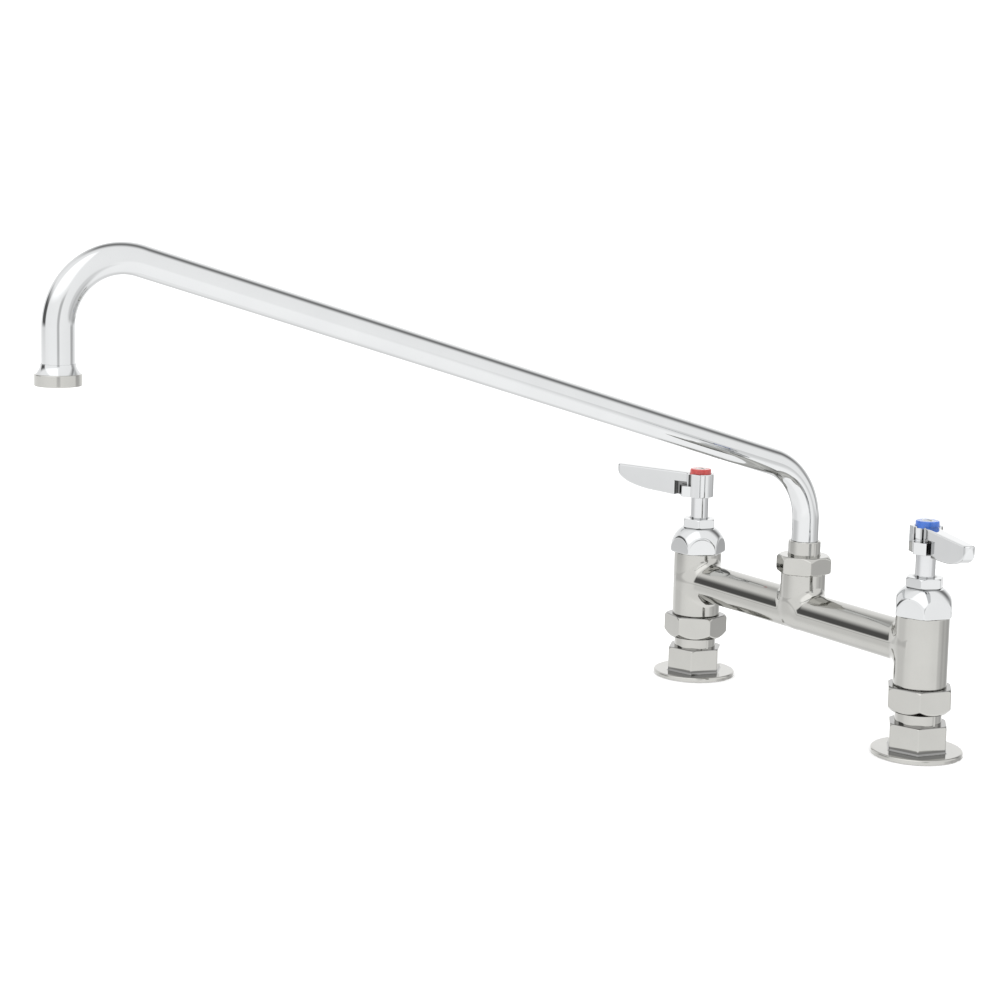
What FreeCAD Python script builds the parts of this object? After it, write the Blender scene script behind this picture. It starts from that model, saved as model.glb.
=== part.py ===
import FreeCAD, Part
import math
import os

# Mixer faucet: two lever handles on a bridge body and a swinging spout.
# Millimetres. X runs from the hot column to the cold column, the user stands
# on the -Y side and Z is up. The origin lies midway between the two columns,
# on the surface that the two flanges rest on.

Vector = FreeCAD.Vector
UP = Vector(0, 0, 1)
FULL_TURN = 360
HALF_TURN = 180
HEXAGON_SIDES = 6
sides = ("hot", "cold")

# Main sizes
column_centres = 203.2
spout_reach = 457.2
bar_rise = 21.55
boss_rise = 23.45
riser_rise = 58.9
arm_slope_degrees = 17.05
outlet_drop = 70.3

# Fits, the small gaps between pieces, and the overrun that every cut has
running_gap = 0.05
thread_gap = 0.05
end_gap = 0.1
cut_overrun = 3.0

# Body: two columns, the bar that joins them and the boss that carries the spout
column_radius = 14.8
column_height = 39.6
bar_radius = 11.7
boss_radius = 13.1
boss_chin_radius = 5.1
boss_chin_depth = 10.0
body_blend_radius = 4.0
bar_bore_radius = 6.5
inlet_passage_radius = 8.8
chamber_radius = 10.3
land_thickness = 6.0

# Inlet flanges with their spanner hexagons and pipe thread holes
flange_radius = 25.4
flange_thickness = 2.8
flange_edge_radius = 1.0
inlet_hex_flats = 30.8
inlet_hex_height = 15.2
inlet_hex_chamfer = 1.0
inlet_thread_radius = 9.4

# Tailpieces, which the coupling nuts pull up against the body
neck_radius = 12.9
neck_height = 6.5
tail_bore_radius = 8.0
tail_thread_radius = 11.0
tail_thread_depth = 4.5
tail_collar_thickness = 2.5

# Coupling nuts and their washers
coupling_flats = 34.0
coupling_height = 14.2
coupling_lip = 3.5
coupling_thread_radius = 14.3
coupling_lower_chamfer = 3.6
coupling_upper_chamfer = 1.4
coupling_washer_thickness = 2.0
coupling_washer_bore_radius = 9.0

# Seats, screwed into the lands under the chambers
seat_depth = 2.75
seat_thread_radius = 7.6
seat_flange_radius = 9.0
seat_flange_thickness = 1.0
seat_nose_radius = 5.9
seat_nose_height = 1.0
seat_key_flats = 8.6

# Bonnets: a hexagon that a dome is turned on, a thread and a guide tube below
bonnet_flats = 30.2
bonnet_height = 15.5
bonnet_foot_chamfer = 0.8
dome_top_radius = 10.6
dome_shoulder_height = 3.7
bonnet_thread_radius = 11.9
bonnet_thread_length = 8.3
guide_radius = 9.9
guide_depth = 14.0
guide_bore_radius = 7.9
guide_flats = 13.2
gasket_radius = 13.3
gasket_thickness = 0.8

# Spindles, the rings that hold them up and their packing
stem_radius = 5.54
stem_exposed = 13.55
thrust_depth = 0.5
thrust_collar_radius = 6.5
thrust_collar_height = 3.4
ring_radius = 8.9
ring_bore_radius = 5.0
ring_thickness = 1.1
drive_thread_radius = 4.0
packing_radius = 7.4
packing_height = 5.0
packing_thread_length = 4.3
packing_nut_flats = 19.05
packing_nut_height = 5.8
packing_nut_lower_chamfer = 1.0
packing_nut_upper_chamfer = 1.0

# Plungers, which the spindles lift off the seats
plunger_lift = 2.5
plunger_radius = 7.8
plunger_flats = 13.0
plunger_web = 1.0
cup_rim = 2.0
seat_washer_radius = 6.4
seat_washer_thickness = 3.0
washer_screw_radius = 1.5
washer_screw_depth = 3.5
washer_screw_head_radius = 2.6
washer_screw_head_height = 1.2

# Levers: a hub with flat side pads, a lug under it and a tapering blade with a level top
lever_length = 61.5
hub_radius = 8.4
hub_height = 14.65
hub_edge_radius = 0.5
pad_half_width = 8.6
pad_reach_back = 4.6
pad_reach_front = 1.7
pad_edge_radius = 0.4
scoop_radius = 3.2
lug_height = 6.8
lug_root_half_width = 8.0
lug_shoulder_reach = 7.0
lug_shoulder_half_width = 10.4
lug_reach = 12.0
lug_tip_half_width = 5.2
blade_root_half_width = 4.3
blade_tip_half_width = 3.2
blade_root_drop = 1.4
blade_straight_share = 0.58
blade_straight_rise = 0.7
blade_nose_share = 0.975
blade_nose_rise = 3.1
blade_tip_land = 2.2
blade_upper_edge_radius = 0.8
joint_gap_length = 4.5
joint_gap_height = 1.8
joint_web_half_width = 1.5
tang_flats = 7.0
tang_length = 9.0

# Index buttons and the screws that hold the levers down
index_radius = 6.6
index_height = 3.0
index_recess = 0.8
index_edge_radius = 0.7
lever_screw_radius = 2.2
lever_screw_depth = 12.0
lever_screw_head_radius = 3.3
lever_screw_head_height = 1.8
lever_screw_crown = 0.35
screw_slot_width = 0.8
screw_slot_depth = 0.7

# Swivel joint at the foot of the spout
swivel_nut_flats = 28.8
swivel_nut_height = 10.3
swivel_nut_lip = 2.4
swivel_nut_lower_chamfer = 1.0
swivel_nut_upper_chamfer = 2.2
swivel_thread_radius = 11.5
swivel_bore_radius = 9.0
swivel_collar_radius = 11.0
swivel_collar_thickness = 2.2
sleeve_radius = 9.5
sleeve_exposed = 8.5
sleeve_depth = 20.0
sleeve_bore_radius = 5.6
sleeve_edge_radius = 0.4
seal_section_radius = 0.9
seal_groove_width = 2.2
seal_place_shares = [0.25, 0.6]

# Spout tube
tube_diameter = 15.875
tube_wall = 1.0
tube_socket_depth = 18.5
riser_bend_radius = 38.1
outlet_bend_radius = 31.75

# Outlet: a flared ferrule on the tube, and the ring that holds washer and screen
ferrule_flare_height = 4.6
ferrule_flare_radius = 10.6
ferrule_lip = 0.35
ferrule_thread_radius = 10.0
ferrule_thread_length = 2.7
ferrule_socket_depth = 5.5
outlet_ring_radius = 11.16
outlet_ring_height = 5.7
outlet_ring_edge_radius = 0.5
outlet_ring_lip = 1.0
outlet_mouth_radius = 8.0
outlet_washer_thickness = 1.2
outlet_washer_bore_radius = 7.2
screen_hole_radius = 0.75
screen_hole_pitch = 2.4

# Turns of the levers at rest, and of the hexagons about their own axes as they were left when tight
lever_turns = {"hot": 20.8, "cold": 22.0}
inlet_hex_turns = {"hot": 16.3, "cold": 19.25}
coupling_turns = {"hot": 50.3, "cold": 18.65}
bonnet_turns = {"hot": 2.3, "cold": 18.25}
packing_nut_turns = {"hot": 22.0, "cold": 8.0}
swivel_nut_turn = 34.8

# Places that follow from the sizes, from the deck up
hex_top = flange_thickness + inlet_hex_height
coupling_bottom = hex_top + neck_height
coupling_top = coupling_bottom + coupling_height
tail_collar_bottom = coupling_bottom + coupling_lip
tail_collar_top = tail_collar_bottom + tail_collar_thickness
spigot_bottom = tail_collar_top + coupling_washer_thickness
column_top = coupling_top + column_height
bar_axis = coupling_top + bar_rise
bonnet_top = column_top + bonnet_height
packing_nut_top = bonnet_top + packing_nut_height
hub_bottom = packing_nut_top + stem_exposed
hub_top = hub_bottom + hub_height
lug_top = hub_bottom + lug_height
blade_bottom = hub_bottom - blade_root_drop
seat_top = bar_axis - bar_bore_radius - seat_depth
seat_shoulder = seat_top - seat_nose_height
chamber_floor = seat_shoulder - seat_flange_thickness
land_bottom = chamber_floor - land_thickness
thrust_face = column_top - thrust_depth
ring_top = thrust_face - thrust_collar_height - end_gap
ring_bottom = ring_top - ring_thickness
packing_top = bonnet_top - packing_thread_length
packing_bottom = packing_top - packing_height
cup_ceiling = seat_top + seat_washer_thickness
drive_hole_bottom = cup_ceiling + washer_screw_depth + plunger_web
plunger_top = ring_bottom - plunger_lift - end_gap
boss_top = bar_axis + boss_rise
swivel_nut_top = boss_top + swivel_nut_height
swivel_collar_top = swivel_nut_top - swivel_nut_lip - end_gap
swivel_spigot_top = swivel_collar_top - swivel_collar_thickness - end_gap
sleeve_top = swivel_nut_top + sleeve_exposed
sleeve_bottom = swivel_spigot_top - sleeve_depth
tube_radius = tube_diameter / 2
arm_slope = math.radians(arm_slope_degrees)
arm_foot = boss_top + riser_rise
arm_head = arm_foot + spout_reach * math.tan(arm_slope)
outlet_bottom = arm_head - outlet_drop
ferrule_bottom = outlet_bottom + outlet_ring_height - ferrule_thread_length
tube_end = outlet_bottom + outlet_ring_height + ferrule_flare_height - ferrule_socket_depth


def cylinder(radius, bottom, top):
    """Solid cylinder about the Z axis."""
    return Part.makeCylinder(radius, top - bottom, Vector(0, 0, bottom))


def hole(radius, bottom, top):
    """Cylinder that cuts past both of its ends."""
    return cylinder(radius, bottom - cut_overrun, top + cut_overrun)


def turned(points):
    """Solid of revolution about Z from a closed outline of (radius, height)."""
    outline = [Vector(radius, 0, height) for radius, height in points]
    outline.append(outline[0])
    return Part.Face(Part.makePolygon(outline)).revolve(Vector(0, 0, 0), UP, FULL_TURN)


def hexagon(flats, bottom, top):
    """Hexagonal prism with a corner on the +X side."""
    corner = flats / math.sqrt(3)
    points = []
    for step in range(HEXAGON_SIDES + 1):
        angle = math.radians(step * FULL_TURN / HEXAGON_SIDES)
        points.append(Vector(corner * math.cos(angle), corner * math.sin(angle), bottom))
    return Part.Face(Part.makePolygon(points)).extrude(Vector(0, 0, top - bottom))


def nut_blank(flats, bottom, top, lower_chamfer, upper_chamfer):
    """Hexagonal prism whose corners are turned off at 45 degrees at both ends."""
    corner = flats / math.sqrt(3)
    envelope = turned([
        (0, bottom),
        (corner - lower_chamfer, bottom),
        (corner, bottom + lower_chamfer),
        (corner, top - upper_chamfer),
        (corner - upper_chamfer, top),
        (0, top),
    ])
    return hexagon(flats, bottom, top).common(envelope)


def flat_sided(radius, flats, bottom, top):
    """Cylinder with two flats, square to Y."""
    slab = Part.makeBox(2 * radius, flats, top - bottom, Vector(-radius, -flats / 2, bottom))
    return cylinder(radius, bottom, top).common(slab)


def square_bar(flats, bottom, top):
    """Square prism about the Z axis."""
    return Part.makeBox(flats, flats, top - bottom, Vector(-flats / 2, -flats / 2, bottom))


def rounded(shape, radius, chosen):
    """Shape with the chosen edges rounded."""
    edges = [edge for edge in shape.Edges if chosen(edge)]
    return shape.makeFillet(radius, edges)


def circle_at(radius, height):
    """Test for a circular edge about Z with this radius, at this height."""
    def matches(edge):
        curve = edge.Curve
        if not isinstance(curve, Part.Circle):
            return False
        same_radius = math.isclose(curve.Radius, radius, rel_tol=1e-6)
        return same_radius and math.isclose(curve.Center.z, height, rel_tol=1e-6)
    return matches


def turned_about_z(shape, degrees):
    """Copy of the shape, turned about the Z axis."""
    copy = shape.copy()
    copy.rotate(Vector(0, 0, 0), UP, degrees)
    return copy


def at_column(shape, side):
    """Copy of the shape, moved from the Z axis to a column's axis."""
    offset = -column_centres / 2 if side == "hot" else column_centres / 2
    copy = shape.copy()
    copy.translate(Vector(offset, 0, 0))
    return copy


def save(name, shape):
    """Write one piece to its own file."""
    shape.exportStep("parts/" + name + ".step")
    print(name, len(shape.Solids), "solids", round(shape.Volume, 2), "mm3", shape.isValid())


def faucet_body():
    """Casting: two columns, the bar between them and the boss of the spout."""
    half = column_centres / 2
    columns = [at_column(cylinder(column_radius, coupling_top, column_top), side) for side in sides]
    bar = Part.makeCylinder(bar_radius, column_centres, Vector(-half, 0, bar_axis), Vector(1, 0, 0))
    boss = Part.makeCone(boss_chin_radius, boss_radius, boss_chin_depth,
                         Vector(0, 0, bar_axis - boss_chin_depth))
    boss = boss.fuse(cylinder(boss_radius, bar_axis, boss_top))
    skin = bar.fuse(columns + [boss]).removeSplitter()

    def is_junction(edge):
        return not isinstance(edge.Curve, (Part.Circle, Part.Line))

    skin = rounded(skin, body_blend_radius, is_junction)
    inlet_spigot = cylinder(coupling_thread_radius, spigot_bottom, coupling_top)
    spigots = [at_column(inlet_spigot, side) for side in sides]
    spigots.append(cylinder(swivel_thread_radius, boss_top, swivel_spigot_top))
    skin = skin.fuse(spigots)

    passages = [
        Part.makeCylinder(bar_bore_radius, column_centres, Vector(-half, 0, bar_axis), Vector(1, 0, 0)),
        cylinder(swivel_bore_radius, bar_axis, swivel_spigot_top + cut_overrun),
    ]
    thread_bottom = column_top - bonnet_thread_length
    cuts = cylinder(inlet_passage_radius, spigot_bottom - cut_overrun, land_bottom)
    cuts = cuts.fuse([
        cylinder(seat_thread_radius + thread_gap, land_bottom, chamber_floor),
        cylinder(chamber_radius, chamber_floor, thread_bottom),
        cylinder(bonnet_thread_radius + thread_gap, thread_bottom, column_top + cut_overrun),
        cylinder(gasket_radius, column_top - gasket_thickness, column_top + cut_overrun),
    ])
    passages += [at_column(cuts, side) for side in sides]
    return skin.cut(passages)


def inlet_flange(turn):
    """Round flange and spanner hexagon in one, with a pipe thread hole from below."""
    flange = rounded(cylinder(flange_radius, 0, flange_thickness), flange_edge_radius,
                     circle_at(flange_radius, flange_thickness))
    block = nut_blank(inlet_hex_flats, 0, hex_top, 0, inlet_hex_chamfer)
    shape = flange.fuse(turned_about_z(block, turn))
    socket_floor = hex_top - tail_thread_depth
    shape = shape.cut(cylinder(inlet_thread_radius, -cut_overrun, socket_floor + cut_overrun))
    return shape.cut(cylinder(tail_thread_radius + thread_gap, socket_floor, hex_top + cut_overrun))


def inlet_tailpiece():
    """Nipple with the collar that the coupling nut lifts."""
    shape = cylinder(neck_radius, hex_top, tail_collar_bottom)
    shape = shape.fuse([
        cylinder(tail_thread_radius, hex_top - tail_thread_depth, hex_top),
        cylinder(coupling_thread_radius, tail_collar_bottom, tail_collar_top),
    ])
    return shape.cut(hole(tail_bore_radius, hex_top - tail_thread_depth, tail_collar_top))


def coupling_nut(turn):
    """Union nut with an inner lip under the tailpiece's collar."""
    blank = nut_blank(coupling_flats, coupling_bottom, coupling_top,
                      coupling_lower_chamfer, coupling_upper_chamfer)
    shape = turned_about_z(blank, turn)
    shape = shape.cut(hole(neck_radius + running_gap, coupling_bottom, coupling_top))
    thread = cylinder(coupling_thread_radius + thread_gap, tail_collar_bottom, coupling_top + cut_overrun)
    return shape.cut(thread)


def coupling_washer():
    """Flat washer between the tailpiece's collar and the body."""
    disc = cylinder(coupling_thread_radius, tail_collar_top, spigot_bottom)
    return disc.cut(hole(coupling_washer_bore_radius, tail_collar_top, spigot_bottom))


def seat():
    """Replaceable seat with a hexagonal hole for its key."""
    shape = cylinder(seat_thread_radius, land_bottom, chamber_floor)
    shape = shape.fuse([
        cylinder(seat_flange_radius, chamber_floor, seat_shoulder),
        cylinder(seat_nose_radius, seat_shoulder, seat_top),
    ])
    return shape.cut(hexagon(seat_key_flats, land_bottom - cut_overrun, seat_top + cut_overrun))


def bonnet(turn):
    """Domed hexagon that closes the column and guides the plunger below."""
    corner = bonnet_flats / math.sqrt(3)
    shoulder = column_top + dome_shoulder_height
    dome_centre = (dome_top_radius ** 2 + bonnet_top ** 2 - corner ** 2 - shoulder ** 2)
    dome_centre = dome_centre / (2 * (bonnet_top - shoulder))
    dome_radius = math.hypot(dome_top_radius, bonnet_top - dome_centre)
    dome = Part.makeSphere(dome_radius, Vector(0, 0, dome_centre))
    head = nut_blank(bonnet_flats, column_top, bonnet_top, bonnet_foot_chamfer, 0).common(dome)
    head = turned_about_z(head, turn)

    guide_bottom = column_top - guide_depth
    shape = head.fuse([
        cylinder(bonnet_thread_radius, column_top - bonnet_thread_length, column_top),
        cylinder(guide_radius, guide_bottom, column_top - bonnet_thread_length),
    ])
    inside = flat_sided(guide_bore_radius, guide_flats, guide_bottom - cut_overrun, thrust_face)
    inside = inside.fuse([
        cylinder(ring_radius + running_gap, ring_bottom, ring_top),
        cylinder(thrust_collar_radius + running_gap, ring_top, thrust_face),
        cylinder(stem_radius + running_gap, thrust_face, bonnet_top),
        cylinder(packing_radius + thread_gap, packing_bottom, bonnet_top + cut_overrun),
    ])
    return shape.cut(inside)


def bonnet_gasket():
    """Flat ring between the bonnet and the column's top."""
    disc = cylinder(gasket_radius - thread_gap, column_top - gasket_thickness, column_top)
    return disc.cut(hole(bonnet_thread_radius + thread_gap, column_top - gasket_thickness, column_top))


def packing_nut(turn):
    """Small nut that presses the packing round the stem."""
    blank = nut_blank(packing_nut_flats, bonnet_top, packing_nut_top,
                      packing_nut_lower_chamfer, packing_nut_upper_chamfer)
    shape = turned_about_z(blank, turn).fuse(cylinder(packing_radius, packing_top, bonnet_top))
    return shape.cut(hole(stem_radius + running_gap, packing_top, packing_nut_top))


def packing():
    """Packing ring round the stem."""
    ring = cylinder(packing_radius, packing_bottom, packing_top)
    return ring.cut(hole(stem_radius + running_gap, packing_bottom, packing_top))


def spindle():
    """Stem with a square tang above, a thrust collar and a drive thread below."""
    drive_end = drive_hole_bottom + plunger_lift + end_gap
    shape = cylinder(stem_radius, thrust_face - thrust_collar_height, hub_bottom)
    shape = shape.fuse([
        cylinder(drive_thread_radius, drive_end, thrust_face),
        cylinder(thrust_collar_radius, thrust_face - thrust_collar_height, thrust_face),
        square_bar(tang_flats, hub_bottom, hub_bottom + tang_length),
    ])
    tang_top = hub_bottom + tang_length
    bore_bottom = tang_top - lever_screw_depth
    return shape.cut(cylinder(lever_screw_radius + thread_gap, bore_bottom, tang_top + cut_overrun))


def spindle_ring():
    """Snap ring under the spindle's collar, open at one side."""
    ring = cylinder(ring_radius, ring_bottom, ring_top)
    ring = ring.cut(hole(ring_bore_radius, ring_bottom, ring_top))
    mouth = Part.makeBox(ring_radius + cut_overrun, ring_bore_radius, ring_thickness + 2 * cut_overrun,
                         Vector(0, -ring_bore_radius / 2, ring_bottom - cut_overrun))
    return ring.cut(mouth)


def plunger():
    """Washer holder that slides in the bonnet and can't turn there."""
    cup_bottom = cup_ceiling - cup_rim
    shape = flat_sided(plunger_radius, plunger_flats, cup_bottom, plunger_top)
    return shape.cut([
        cylinder(seat_washer_radius, cup_bottom - cut_overrun, cup_ceiling),
        cylinder(washer_screw_radius + thread_gap, cup_ceiling, cup_ceiling + washer_screw_depth),
        cylinder(drive_thread_radius + running_gap, drive_hole_bottom, plunger_top + cut_overrun),
    ])


def seat_washer():
    """Rubber disc that closes the seat."""
    disc = cylinder(seat_washer_radius - thread_gap, seat_top, cup_ceiling)
    return disc.cut(hole(washer_screw_radius + thread_gap, seat_top, cup_ceiling))


def washer_screw():
    """Screw that holds the seat washer to the plunger."""
    shape = cylinder(washer_screw_radius, seat_top, cup_ceiling + washer_screw_depth)
    head_bottom = seat_top - washer_screw_head_height
    shape = shape.fuse(cylinder(washer_screw_head_radius, head_bottom, seat_top))
    slot = Part.makeBox(2 * washer_screw_head_radius, screw_slot_width, screw_slot_depth,
                        Vector(-washer_screw_head_radius, -screw_slot_width / 2, head_bottom))
    return shape.cut(slot)


def blade():
    """Tapering blade along +X: its side profile, cut to its plan."""
    straight_end = lever_length * blade_straight_share
    low_edge = Part.makePolygon([
        Vector(0, 0, hub_top),
        Vector(0, 0, blade_bottom),
        Vector(straight_end, 0, hub_bottom + blade_straight_rise),
    ])
    nose = Part.BezierCurve()
    nose.setPoles([
        Vector(straight_end, 0, hub_bottom + blade_straight_rise),
        Vector(lever_length * blade_nose_share, 0, hub_bottom + blade_nose_rise),
        Vector(lever_length, 0, hub_top - blade_tip_land),
    ])
    upper = Part.makePolygon([
        Vector(lever_length, 0, hub_top - blade_tip_land),
        Vector(lever_length, 0, hub_top),
        Vector(0, 0, hub_top),
    ])
    outline = Part.Wire(low_edge.Edges + [nose.toShape()] + upper.Edges)
    profile = Part.Face(outline).extrude(Vector(0, 2 * blade_root_half_width, 0))
    profile.translate(Vector(0, -blade_root_half_width, 0))

    tip_start = lever_length - blade_tip_half_width
    right_root = Vector(0, -blade_root_half_width, blade_bottom)
    right_tip = Vector(tip_start, -blade_tip_half_width, blade_bottom)
    left_tip = Vector(tip_start, blade_tip_half_width, blade_bottom)
    left_root = Vector(0, blade_root_half_width, blade_bottom)
    plan = Part.Wire([
        Part.LineSegment(right_root, right_tip).toShape(),
        Part.Arc(right_tip, Vector(lever_length, 0, blade_bottom), left_tip).toShape(),
        Part.LineSegment(left_tip, left_root).toShape(),
        Part.LineSegment(left_root, right_root).toShape(),
    ])
    return profile.common(Part.Face(plan).extrude(Vector(0, 0, hub_top - blade_bottom)))


def is_blade_top_edge(edge):
    """Test for the edges round the blade's top, without the one inside the hub."""
    box = edge.BoundBox
    return box.ZMin > hub_top - thread_gap and box.XMax > hub_radius


def is_upright(edge):
    """Test for an edge along Z."""
    box = edge.BoundBox
    return box.ZLength > box.XLength + box.YLength


def joint_gap():
    """Stepped gap under the blade, in front of the lug and over it, from both sides to a thin web."""
    width = 2 * lug_shoulder_half_width
    length = lug_reach + joint_gap_length
    bottom = blade_bottom - cut_overrun
    top = lug_top + joint_gap_height
    block = Part.makeBox(length, width, top - bottom, Vector(0, -width / 2, bottom))
    web = Part.makeBox(length, 2 * joint_web_half_width, top - hub_bottom,
                       Vector(0, -joint_web_half_width, hub_bottom))
    return block.cut(web)


def pads():
    """Block whose two ends are the flat pads at the hub's sides."""
    block = Part.makeBox(pad_reach_back + pad_reach_front, 2 * pad_half_width, hub_height,
                         Vector(-pad_reach_back, -pad_half_width, hub_bottom))
    return rounded(block, pad_edge_radius, is_upright)


def lug():
    """Lug under the blade: it widens from the pads to a shoulder and tapers to its own front."""
    half_outline = [
        (0, lug_root_half_width),
        (lug_shoulder_reach, lug_shoulder_half_width),
        (lug_reach, lug_tip_half_width),
    ]
    outline = [Vector(along, across, hub_bottom) for along, across in half_outline]
    outline += [Vector(along, -across, hub_bottom) for along, across in reversed(half_outline)]
    outline.append(outline[0])
    block = Part.Face(Part.makePolygon(outline)).extrude(Vector(0, 0, lug_height))
    return rounded(block, pad_edge_radius, is_upright)


def scoops():
    """Hollows over the lug, which bring the hub's front in to the blade's sides."""
    length = lug_reach + cut_overrun
    width = lug_shoulder_half_width - blade_root_half_width + cut_overrun
    height = hub_height - lug_height + cut_overrun
    left = Part.makeBox(length, width, height, Vector(pad_reach_front, blade_root_half_width, lug_top))

    def is_inner_corner(edge):
        box = edge.BoundBox
        at_hub = box.XMax < pad_reach_front + thread_gap
        return is_upright(edge) and at_hub and box.YMax < blade_root_half_width + thread_gap
    left = rounded(left, scoop_radius, is_inner_corner)
    return left.fuse(left.mirror(Vector(0, 0, 0), Vector(0, 1, 0)))


def lever():
    """Lever handle along +X, with its broach, screw hole and index recess."""
    arm = rounded(blade(), blade_upper_edge_radius, is_blade_top_edge).cut(joint_gap())
    hub = cylinder(hub_radius, hub_bottom, hub_top)
    hub = rounded(hub, hub_edge_radius, circle_at(hub_radius, hub_top))
    shape = hub.fuse([pads(), lug()]).cut(scoops())
    shape = shape.fuse(arm).removeSplitter()
    recess_floor = hub_top - index_recess
    broach_top = hub_bottom + tang_length + thread_gap
    return shape.cut([
        square_bar(tang_flats + 2 * thread_gap, hub_bottom - cut_overrun, broach_top),
        hole(lever_screw_radius + thread_gap, hub_bottom, hub_top),
        cylinder(index_radius + thread_gap, recess_floor, hub_top + cut_overrun),
    ])


def lever_screw():
    """Countersunk screw with a low crown and a slot, through the index button."""
    top = hub_top + index_height
    head_bottom = top - lever_screw_head_height
    tang_top = hub_bottom + tang_length
    shape = cylinder(lever_screw_radius, tang_top - lever_screw_depth, head_bottom)
    head = Part.makeCone(lever_screw_radius, lever_screw_head_radius, lever_screw_head_height,
                         Vector(0, 0, head_bottom))
    crown_radius = (lever_screw_head_radius ** 2 + lever_screw_crown ** 2) / (2 * lever_screw_crown)
    crown = Part.makeSphere(crown_radius, Vector(0, 0, top + lever_screw_crown - crown_radius))
    crown = crown.common(cylinder(lever_screw_head_radius, top, top + lever_screw_crown))
    shape = shape.fuse([head, crown])
    slot = Part.makeBox(2 * lever_screw_head_radius, screw_slot_width, screw_slot_depth + cut_overrun,
                        Vector(-lever_screw_head_radius, -screw_slot_width / 2, top - screw_slot_depth))
    return shape.cut(slot)


def index_button():
    """Coloured button in the hub's top, with a countersink for the lever screw."""
    floor = hub_top - index_recess
    top = hub_top + index_height
    shape = rounded(cylinder(index_radius, floor, top), index_edge_radius, circle_at(index_radius, top))
    shape = shape.cut(hole(lever_screw_radius + thread_gap, floor, top))
    head = Part.makeCone(lever_screw_radius + thread_gap, lever_screw_head_radius + thread_gap,
                         lever_screw_head_height, Vector(0, 0, top - lever_screw_head_height))
    return shape.cut(head)


def swivel_nut():
    """Nut that holds the sleeve's collar down on the boss."""
    blank = nut_blank(swivel_nut_flats, boss_top, swivel_nut_top,
                      swivel_nut_lower_chamfer, swivel_nut_upper_chamfer)
    shape = turned_about_z(blank, swivel_nut_turn)
    shape = shape.cut(hole(sleeve_radius + running_gap, boss_top, swivel_nut_top))
    lip_bottom = swivel_nut_top - swivel_nut_lip
    return shape.cut(cylinder(swivel_thread_radius + thread_gap, boss_top - cut_overrun, lip_bottom))


def seal_heights():
    """Heights of the sealing rings along the sleeve's lower part."""
    return [sleeve_bottom + share * (swivel_spigot_top - sleeve_bottom) for share in seal_place_shares]


def swivel_sleeve():
    """Sleeve brazed to the tube: it turns in the boss under the swivel nut."""
    journal_radius = swivel_bore_radius - running_gap
    collar_bottom = swivel_spigot_top + end_gap
    upper = rounded(cylinder(sleeve_radius, collar_bottom, sleeve_top), sleeve_edge_radius,
                    circle_at(sleeve_radius, sleeve_top))
    shape = cylinder(journal_radius, sleeve_bottom, collar_bottom)
    shape = shape.fuse([upper, cylinder(swivel_collar_radius, collar_bottom, swivel_collar_top)])
    socket_floor = sleeve_top - tube_socket_depth
    cuts = [
        cylinder(tube_radius + thread_gap, socket_floor, sleeve_top + cut_overrun),
        cylinder(sleeve_bore_radius, sleeve_bottom - cut_overrun, socket_floor + cut_overrun),
    ]
    groove_floor = swivel_bore_radius - 2 * (seal_section_radius + running_gap)
    for height in seal_heights():
        low = height - seal_groove_width / 2
        high = height + seal_groove_width / 2
        cuts.append(cylinder(swivel_bore_radius, low, high).cut(hole(groove_floor, low, high)))
    return shape.cut(cuts)


def swivel_seals():
    """Two sealing rings in the sleeve's grooves."""
    centre_radius = swivel_bore_radius - running_gap - seal_section_radius
    places = [Vector(0, 0, height) for height in seal_heights()]
    return Part.makeCompound([Part.makeTorus(centre_radius, seal_section_radius, place) for place in places])


def spout_path():
    """Centre line of the tube: riser, bend, rising arm, bend and outlet."""
    rise = Vector(0, 0, 1)
    arm = Vector(0, -math.cos(arm_slope), math.sin(arm_slope))
    fall = Vector(0, 0, -1)
    start = Vector(0, 0, sleeve_top - tube_socket_depth)
    foot = Vector(0, 0, arm_foot)
    head = Vector(0, -spout_reach, arm_head)
    end = Vector(0, -spout_reach, tube_end)
    edges = []
    for corner, radius, inward, outward in ((foot, riser_bend_radius, rise, arm),
                                            (head, outlet_bend_radius, arm, fall)):
        half_turn = inward.getAngle(outward) / 2
        tangent = radius * math.tan(half_turn)
        first = corner - inward * tangent
        last = corner + outward * tangent
        bisector = (outward - inward).normalize()
        centre = corner + bisector * (radius / math.cos(half_turn))
        middle = centre - bisector * radius
        edges.append(Part.LineSegment(start, first).toShape())
        edges.append(Part.Arc(first, middle, last).toShape())
        start = last
    edges.append(Part.LineSegment(start, end).toShape())
    return Part.Wire(edges)


def spout_tube():
    """Bent tube of constant section."""
    path = spout_path()
    start = Vector(0, 0, sleeve_top - tube_socket_depth)
    pipes = []
    for radius in (tube_radius, tube_radius - tube_wall):
        ring = Part.Wire([Part.makeCircle(radius, start, UP)])
        pipes.append(path.makePipeShell([ring], True, True))
    return pipes[0].cut(pipes[1])


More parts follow.
